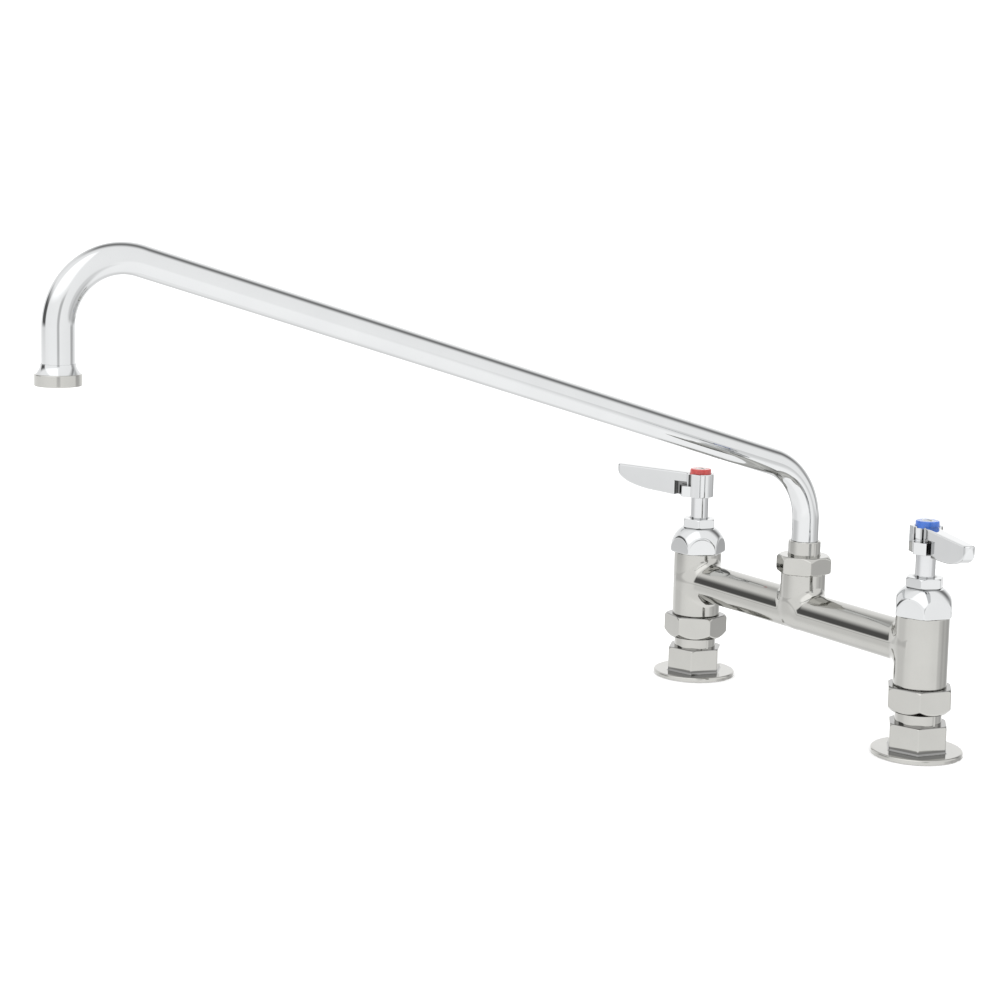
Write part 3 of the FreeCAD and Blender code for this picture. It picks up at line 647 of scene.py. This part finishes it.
def flange_painted_shade(r, z):
    """Painted shade: a dark band at the foot of the hexagon, and a dark line on the ledge round the
    tailpiece.
    """
    foot = (z > FOOT_SHADE_BOTTOM) & (z < FOOT_SHADE_TOP)
    ledge = (z > HEX_LEDGE_BOTTOM) & (r > HEX_LEDGE_INNER)
    return FOOT_SHADE * foot + LEDGE_SHADE * ledge


def coupling_painted_shade(r, z):
    """Painted shade on the ledge of the union nut under the column."""
    return LEDGE_SHADE * ((z > NUT_LEDGE_BOTTOM) & (r > NUT_LEDGE_INNER))


def gland_painted_shade(r, z):
    """Painted shade at the foot of the packing nut on the bonnet, and at its mouth round the stem."""
    return GLAND_SHADE * ((z < GLAND_FOOT_TOP) | ((z > GLAND_TOP_BOTTOM) & (r < GLAND_TOP_OUTER)))


def inlet(side, at):
    """Flange, neck and union nut under one column."""
    flange = netted(side + "_flange", flange_field, round_box(half=26.4, bottom=-0.8, top=19), cell=0.5,
                    turn=HEX_TURNS[side], offset=at, joint=flange_painted_shade)
    dressed(flange, "faucet_frame", CAST, "body_chrome", side + "_inlet_flange")
    neck = lathe(side + "_neck", [(NECK_BORE, INLET_DEPTH, 0), (NECK_RADIUS, HEX_TOP, 0),
                                  (NECK_RADIUS, COLLAR_BOTTOM, NECK_EDGE),
                                  (COLLAR_RADIUS, COLLAR_BOTTOM, NECK_EDGE),
                                  (COLLAR_RADIUS, COLLAR_TOP, NECK_EDGE), (NECK_BORE, COLLAR_TOP, 0)], at)
    dressed(neck, "faucet_frame", CAST, "body_chrome", side + "_inlet_tailpiece")
    nut = nut_field(COUPLING_FLATS, COUPLING_BOTTOM, COUPLING_TOP, lower=3.6, upper=1.4, soft=COUPLING_EDGE)
    nut = drilled(nut, COUPLING_BORE, COUPLING_EDGE)
    nut = netted(side + "_nut", nut, round_box(half=20.5, bottom=23.5, top=39.8), cell=0.45,
                 turn=COUPLING_TURNS[side], offset=at, joint=coupling_painted_shade)
    dressed(nut, "faucet_frame", CAST, "body_chrome", side + "_coupling_nut")


def valve_top(side, at):
    """Bonnet and packing nut on one column."""
    cap = drilled(bonnet_field, BONNET_BORE)
    cap = netted(side + "_cap", cap, round_box(half=18.4, bottom=77.4, top=95), cell=0.42,
                 turn=BONNET_TURNS[side], offset=at)
    dressed(cap, "faucet_frame", BRIGHT, "bright_chrome", side + "_bonnet")
    small = nut_field(PACKING_FLATS, BONNET_TOP, PACKING_NUT_TOP, lower=1.0, upper=1.0, soft=PACKING_EDGE)
    small = drilled(small, PACKING_BORE)
    small = netted(side + "_gland_nut", small, round_box(half=12, bottom=93, top=100.6), cell=0.32,
                   turn=PACKING_TURNS[side], offset=at, joint=gland_painted_shade)
    dressed(small, "faucet_frame", BRIGHT, "bright_chrome", side + "_packing_nut")


def swivel_nut():
    """Hexagon nut on the boss, which holds the spout down."""
    swivel = nut_field(SWIVEL_FLATS, BOSS_TOP, SWIVEL_NUT_TOP, lower=1.0, upper=2.2, soft=SWIVEL_EDGE)
    swivel = drilled(swivel, SWIVEL_BORE, soft=0.3)
    swivel = netted("spout_nut", swivel, round_box(half=17.6, bottom=82.8, top=95), cell=0.42,
                    turn=SWIVEL_TURN)
    dressed(swivel, "faucet_frame", CAST, "body_chrome", "swivel_nut")


for side, sign in SIDES.items():
    inlet(side, (sign * HALF_CENTRES, 0))
    valve_top(side, (sign * HALF_CENTRES, 0))
swivel_nut()


# Levers
HUB_EDGE = 0.5
PAD_EDGE = 0.4
LUG_CORNER = 0.4
LUG_EDGE = 0.3
SCOOP_EDGE = 0.3
SCOOP_FOOT_EDGE = 0.2
LEVER_FILLET = 0.3
BLADE_TOP_EDGE = 0.8
BLADE_FOOT_EDGE = 0.5
GAP_EDGE = 0.25
GROOVE_TOP = HUB_TOP - 1.2
RECESS_RADIUS = 6.7
RECESS_DEPTH = 0.8
# the blade's underside: straight to a share of the length, then curving up to the tip
STRAIGHT_SHARE = 0.58
CURVE_SHARE = 0.975
ROOT_LOW = -1.4
ROOT_RISE = 2.1
STRAIGHT_LOW = 0.7
CURVE_LOW = 3.1
TIP_THICKNESS = 2.2
# where along the blade its underside turns from level to steep, and the slope's share there
STEEP_PLACES = [46, 61]
STEEP_SHARES = [1.0, 0.35]
CURVE_POINTS = 60
# how far past a face a point still counts as lying on it, and how far the painted shade stays off a rounded
# edge
NEAR = 0.15
JUST = 0.1
OFF_EDGE = 0.2
OFF_BLADE_SIDE = 0.25
OFF_LUG_SIDE = 0.3
OFF_TOP = 0.4
OFF_HUB = 1.0
LEVER_BOX = (-9.8, -11.6, 110.4), (62.9, 11.6, 129.2)
LEVER_CELL = 0.36


def lever_low(x):
    """Height of the blade's underside."""
    straight = STRAIGHT_SHARE * LEVER_LENGTH
    tip = HUB_TOP - TIP_THICKNESS - HUB_BOTTOM
    t = np.linspace(0, 1, CURVE_POINTS)
    along = (1 - t) ** 2 * straight + 2 * t * (1 - t) * CURVE_SHARE * LEVER_LENGTH + t ** 2 * LEVER_LENGTH
    up = (1 - t) ** 2 * STRAIGHT_LOW + 2 * t * (1 - t) * CURVE_LOW + t ** 2 * tip
    root = ROOT_LOW + ROOT_RISE * x / straight
    return HUB_BOTTOM + np.where(x < straight, root, np.interp(x, along, up))


def lug_field(x, side, z):
    """Lug under the blade: its sides run out to a shoulder and in again to its blunt tip."""
    run, rise = LUG_SHOULDER_REACH, LUG_SHOULDER_HALF_WIDTH - LUG_ROOT_HALF_WIDTH
    rear = ((side - LUG_ROOT_HALF_WIDTH) * run - x * rise) / math.hypot(run, rise)
    run, fall = LUG_REACH - LUG_SHOULDER_REACH, LUG_SHOULDER_HALF_WIDTH - LUG_TIP_HALF_WIDTH
    front = ((x - LUG_REACH) * fall + (side - LUG_TIP_HALF_WIDTH) * run) / math.hypot(run, fall)
    lug = round_cut(round_cut(rear, front, LUG_CORNER), x - LUG_REACH, LUG_CORNER)
    return round_cut(np.maximum(lug, -x), slab(z, HUB_BOTTOM, LUG_TOP), LUG_EDGE)


def hub_field(x, side, z):
    """Round hub with flat side pads and a lug, scooped in over the lug to the blade's sides."""
    height = slab(z, HUB_BOTTOM, HUB_TOP)
    hub = round_cut(np.hypot(x, side) - HUB_RADIUS, height, HUB_EDGE)
    pads = round_cut(side - PAD_HALF_WIDTH, slab(x, -PAD_BACK, PAD_FRONT), PAD_EDGE)
    hub = blend_union(hub, round_cut(pads, height, PAD_EDGE), LEVER_FILLET)
    scoop = round_cut(PAD_FRONT - x, BLADE_ROOT - side, SCOOP_RADIUS)
    hub = round_cut(hub, -round_cut(scoop, LUG_TOP - z, SCOOP_FOOT_EDGE), SCOOP_EDGE)
    return np.minimum(hub, lug_field(x, side, z))


def blade_field(x, side, z):
    """Tapering blade with a level top and the stepped gap over and before the lug, cut in from both sides."""
    tip_start = LEVER_LENGTH - BLADE_TIP
    half = np.interp(x, [0, tip_start], [BLADE_ROOT, BLADE_TIP])
    plan = np.where(x > tip_start, np.hypot(x - tip_start, side) - BLADE_TIP, side - half)
    low = (lever_low(x) - z) * np.interp(x, STEEP_PLACES, STEEP_SHARES)
    blade = round_cut(round_cut(plan, z - HUB_TOP, BLADE_TOP_EDGE), low, BLADE_FOOT_EDGE)
    gap = np.maximum(x - GAP_END, z - GAP_TOP)
    gap = np.maximum(gap, np.minimum(WEB_HALF_WIDTH - side, z - HUB_BOTTOM))
    return np.maximum(round_cut(blade, -gap, GAP_EDGE), -x)


def lever_field(x, y, z):
    """Whole lever, with a groove between hub and blade and a recess for the index button."""
    side = np.abs(y)
    shape = blend_union(hub_field(x, side, z), blade_field(x, side, z), LEVER_FILLET)
    groove = np.maximum(slab(x, GROOVE_START, GROOVE_END), BLADE_ROOT - GROOVE_DEPTH - side)
    groove = np.maximum(groove, slab(z, LUG_TOP, GROOVE_TOP))
    recess = np.maximum(np.hypot(x, y) - RECESS_RADIUS, HUB_TOP - RECESS_DEPTH - z)
    return np.maximum(shape, -np.minimum(groove, recess))


def lever_painted_shade(points):
    """Painted shade: 1 at the points in the joint between hub and blade, and on the edges of the side pads
    that face it.
    """
    x, side, z = points[:, 0], np.abs(points[:, 1]), points[:, 2]
    under = side < BLADE_ROOT - OFF_BLADE_SIDE
    slot = (x > LUG_REACH - NEAR) & (x < GAP_END - OFF_EDGE) & (side < LUG_TIP_HALF_WIDTH - OFF_LUG_SIDE)
    slot |= (x > LUG_REACH) & (x < GAP_END + NEAR) & under
    slot &= (side > WEB_HALF_WIDTH - NEAR) & (z > HUB_BOTTOM + NEAR) & (z < GAP_TOP + NEAR)
    over = (x > PAD_FRONT) & (x < GAP_END + NEAR) & under & (z > LUG_TOP - NEAR) & (z < GAP_TOP + NEAR)
    groove = (x > GROOVE_START - JUST) & (x < GROOVE_END + JUST) & (side < BLADE_ROOT + NEAR)
    groove &= (side > BLADE_ROOT - GROOVE_DEPTH - NEAR) & (z > LUG_TOP) & (z < GROOVE_TOP)
    edge = (np.abs(x - PAD_FRONT) < OFF_EDGE) & (side > HUB_RADIUS - OFF_HUB) & (side < PAD_HALF_WIDTH - JUST)
    edge &= (z > LUG_TOP + OFF_EDGE) & (z < HUB_TOP - OFF_TOP)
    return slot | over | groove | edge


def handle(side, sign, shape):
    """One lever, turned about its stem."""
    points, faces, normals = shape
    spin = spin_matrix(180 + LEVER_TURNS[side] if side == "hot" else -LEVER_TURNS[side])
    place = np.array([sign * HALF_CENTRES, 0, 0])
    lever = new_mesh(side + "_handle", points @ spin.T + place, faces, normals @ spin.T)
    # painted shade in the lever's gap, groove and pad edges
    mark_painted_shade(lever, lever_painted_shade(points))
    dressed(lever, side + "_handle", BRIGHT, "bright_chrome", side + "_lever")


lever_shape = net(lever_field, *LEVER_BOX, LEVER_CELL)
for side, sign in SIDES.items():
    handle(side, sign, lever_shape)


# Spout
FOOT_BEND = 38.1
OUTLET_BEND = 31.75
TUBE_FOOT = SLEEVE_TOP - 18.5
TUBE_END = OUTLET_TOP + 4.6 - 5.5
TUBE_SIDES = 96
STRAIGHT_STEP = 12
BEND_STEP = math.radians(2)
FEWEST_BEND_STEPS = 24
SLEEVE_FOOT = 84.5
SLEEVE_BORE = 8.0
SLEEVE_RADIUS = 9.5


def arc_path():
    """Centre line of the spout: points and their tangents."""
    rise, fall = np.array([0, 0, 1.0]), np.array([0, 0, -1.0])
    arm = np.array([0, -math.cos(ARM_SLOPE), math.sin(ARM_SLOPE)])
    points, tangents = [np.array([0, 0, TUBE_FOOT])], [rise]
    for corner, radius, a, b in ((np.array([0, 0, ARM_FOOT]), FOOT_BEND, rise, arm),
                                 (np.array([0, -SPOUT_REACH, ARM_HEAD]), OUTLET_BEND, arm, fall)):
        turn = math.acos(float(a @ b))
        reach = radius * math.tan(turn / 2)
        start = corner - a * reach
        inward = (b - a * math.cos(turn)) / math.sin(turn)
        steps = max(FEWEST_BEND_STEPS, int(turn / BEND_STEP))
        run = np.linalg.norm(start - points[-1])
        for _ in range(1, int(run / STRAIGHT_STEP)):
            points.append(points[-1] + a * STRAIGHT_STEP)
            tangents.append(a)
        for s in range(steps + 1):
            t = turn * s / steps
            points.append(start + a * radius * math.sin(t) + inward * radius * (1 - math.cos(t)))
            tangents.append(a * math.cos(t) + inward * math.sin(t))
    points.append(np.array([0, -SPOUT_REACH, TUBE_END]))
    tangents.append(fall)
    return points, tangents


def spout():
    """Bent tube with an outer and an inner wall, closed at both ends."""
    points, normals, faces = [], [], []
    path, along = arc_path()
    across = np.array([1.0, 0, 0])
    outer = TUBE_RADIUS - TUBE_MARGIN
    order = list(range(len(path)))
    rows = []
    for radius, sense, stations in ((outer, 1, order), (outer - TUBE_WALL, -1, order[::-1])):
        for k in stations:
            up = np.cross(along[k], across)
            row = []
            for s in range(TUBE_SIDES):
                a = 2 * math.pi * s / TUBE_SIDES
                out = across * math.cos(a) + up * math.sin(a)
                row.append(len(points))
                points.append(path[k] + out * radius)
                normals.append(out * sense)
            rows.append(row)
    for k in range(len(rows)):
        a, b = rows[k], rows[(k + 1) % len(rows)]
        for s in range(TUBE_SIDES):
            t = (s + 1) % TUBE_SIDES
            faces.append((a[s], a[t], b[t], b[s]))
    return new_mesh("spout_arm", points, faces, normals)


dressed(spout(), "spout", BRIGHT, "bright_chrome", "spout_tube")
sleeve = lathe("spout_sleeve", [(SLEEVE_BORE, SLEEVE_FOOT, 0), (SLEEVE_RADIUS, SLEEVE_FOOT, 0),
                                (SLEEVE_RADIUS, SLEEVE_TOP, 0.6), (SLEEVE_BORE, SLEEVE_TOP, 0.2)])
dressed(sleeve, "spout", CAST, "body_chrome", "swivel_sleeve")


# Surfaces of the kept nodes
LOOKS = {
    "spindle": STEM, "lever_screw": STEEL, "seat": BRASS, "plunger": BRASS, "spindle_ring": STEEL,
    "washer_screw": STEEL, "bonnet_gasket": PACKING, "packing": PACKING, "seat_washer": RUBBER,
    "coupling_washer": RUBBER, "outlet_ferrule": BRIGHT, "outlet_ring": CAST, "outlet_washer": RUBBER,
    "outlet_screen": STEEL, "swivel_seals": RUBBER, "faucet_body": CAST, "inlet_flange": CAST,
    "inlet_tailpiece": CAST, "coupling_nut": CAST, "bonnet": BRIGHT, "packing_nut": BRIGHT,
    "lever": BRIGHT, "swivel_nut": CAST, "swivel_sleeve": CAST, "spout_tube": BRIGHT,
}
for name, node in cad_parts.items():
    kind = name.split("_", 1)[1] if name.split("_")[0] in SIDES else name
    look = (RED if name.startswith("hot") else BLUE) if kind == "index_button" else LOOKS[kind]
    node.data.materials.clear()
    node.data.materials.append(look)


# Floor and lights

# azimuth, half width, lowest, highest, soft sides, soft foot, soft top, share of the light that is left
DARK_CARDS = [
    (-132, 18, -3.5, 23, 10, 7, 22, 0.11),
    (80, 28, -30, -8, 24, 14, 3, 0.66),
    (-140, 22, -30, -8, 24, 14, 3, 0.86),
    (-132, 30, -11.3, -8, 28, 2, 3, 0.78),
    (46, 14, -30, -8, 12, 14, 3, 0.76),
    (180, 9, -11.3, -7.5, 8, 2, 3, 0.80),
    (112, 12, -11.3, -7.5, 12, 2, 3, 0.66),
    (-20, 8, -7, 14, 10, 3, 10, 0.54),
    (77, 8, -7, 12, 10, 3, 10, 0.55),
]
# the same for light that is added
BRIGHT_CARDS = [
    (-65, 42, 24, 84, 16, 14, 14, 0.45),
    (-45, 45, -25, -5, 30, 10, 10, 0.05),
    (30, 100, -95, -20, 40, 5, 14, 0.12),
]
# edge of the backdrop: azimuth and height of its middle, then angles from it and the share at the edge
BACKDROP = (142, 8, 24, 54, 78, 0.20)
FLOOR_SIZE = 3.0
FLOOR_LEVEL = 1.7
LEVEL = 1.33
# how much the light grows towards +X and -Y
LEVEL_TILT = 0.04
FLOOR_DROP = 0.0002


def studio_floor():
    """Plain white floor, which lights the part but stays out of the chrome's reflections."""
    mesh = bpy.data.meshes.new("floor")
    s = FLOOR_SIZE
    mesh.from_pydata([(-s, -s, 0), (s, -s, 0), (s, s, 0), (-s, s, 0)], [], [(0, 1, 2, 3)])
    floor = bpy.data.objects.new("floor", mesh)
    bpy.context.scene.collection.objects.link(floor)
    floor.location.z = -FLOOR_DROP
    floor.visible_glossy = False
    material, t, body, place = shader("pale_floor", metallic=0.0, specular=0.0)
    body.inputs["Roughness"].default_value = 1.0
    cloud = t.noise(place, scale=3, detail=3, rough=0.5)
    share = t.spread(cloud, low=0.3, high=0.7, to_low=0.90, to_high=0.92)
    grey = t.add("ShaderNodeCombineColor")
    for socket in grey.inputs:
        t.join(share, socket)
    t.join(grey.outputs[0], body.inputs["Base Color"])
    floor.data.materials.append(material)


def studio_light():
    """Soft light from all round, with the cards that the chrome shows."""
    world = bpy.data.worlds.new("studio")
    bpy.context.scene.world = world
    world.use_nodes = True
    w = Tree(world.node_tree)
    split = w.add("ShaderNodeSeparateXYZ")
    w.join(w.add("ShaderNodeTexCoord").outputs["Generated"], split.inputs[0])
    x, y, z = split.outputs
    height = w.math("ARCSINE", z)

    def step(value, middle, soft, start, end):
        return w.spread(value, math.radians(middle - soft / 2), math.radians(middle + soft / 2), start, end)

    def card(azimuth, half_width, low, high, soft_side, soft_foot, soft_top):
        """Share of a card in a direction, in degrees."""
        a = math.radians(azimuth)
        ahead = w.math("ADD", w.math("MULTIPLY", x, math.cos(a)), w.math("MULTIPLY", y, math.sin(a)))
        aside = w.math("SUBTRACT", w.math("MULTIPLY", y, math.cos(a)), w.math("MULTIPLY", x, math.sin(a)))
        angle = w.math("ABSOLUTE", w.math("ARCTAN2", aside, ahead))
        across = step(angle, half_width, soft_side, 1.0, 0.0)
        over = step(height, low, soft_foot, 0.0, 1.0)
        under = step(height, high, soft_top, 1.0, 0.0)
        return w.math("MULTIPLY", across, w.math("MULTIPLY", over, under))

    level = w.math("MULTIPLY_ADD", w.math("SUBTRACT", x, y), LEVEL_TILT, LEVEL)
    for *place, power in BRIGHT_CARDS:
        level = w.math("ADD", level, w.math("MULTIPLY", card(*place), power))
    for *place, left in DARK_CARDS:
        level = w.math("MULTIPLY", level, w.math("MULTIPLY_ADD", card(*place), left - 1.0, 1.0))

    azimuth, rise, inner, middle, outer, left = BACKDROP
    a, b = math.radians(azimuth), math.radians(rise)
    towards = w.add("ShaderNodeVectorMath", operation="DOT_PRODUCT")
    w.join(split.inputs[0].links[0].from_socket, towards.inputs[0])
    towards.inputs[1].default_value = (math.cos(b) * math.cos(a), math.cos(b) * math.sin(a), math.sin(b))
    angle = w.math("ARCCOSINE", towards.outputs["Value"])
    edge = w.math("MULTIPLY", step(angle, (inner + middle) / 2, middle - inner, 0.0, 1.0),
                  step(angle, (middle + outer) / 2, outer - middle, 1.0, 0.0))
    aside = w.math("SUBTRACT", w.math("MULTIPLY", y, math.cos(a)), w.math("MULTIPLY", x, math.sin(a)))
    edge = w.math("MULTIPLY", edge, w.spread(aside, low=0.25, high=0.65, to_low=1.0, to_high=0.15))
    edge = w.math("MULTIPLY", edge, step(height, middle=11, soft=32, start=0.3, end=1.0))
    level = w.math("MULTIPLY", level, w.math("MULTIPLY_ADD", edge, left - 1.0, 1.0))

    path = w.add("ShaderNodeLightPath")
    mixed = w.add("ShaderNodeMix", data_type="FLOAT")
    w.join(w.math("MAXIMUM", path.outputs["Is Camera Ray"], path.outputs["Is Diffuse Ray"]), mixed.inputs[0])
    w.join(level, mixed.inputs[MIX_NUMBER_A])
    mixed.inputs[MIX_NUMBER_B].default_value = FLOOR_LEVEL
    back = w.add("ShaderNodeBackground")
    back.inputs["Color"].default_value = (1, 1, 1, 1)
    w.join(mixed.outputs[0], back.inputs["Strength"])
    out = w.add("ShaderNodeOutputWorld")
    w.join(back.outputs[0], out.inputs[0])


studio_floor()
studio_light()

view = bpy.context.scene.view_settings
view.view_transform = "Standard"
view.look = "None"
view.exposure = 0.0
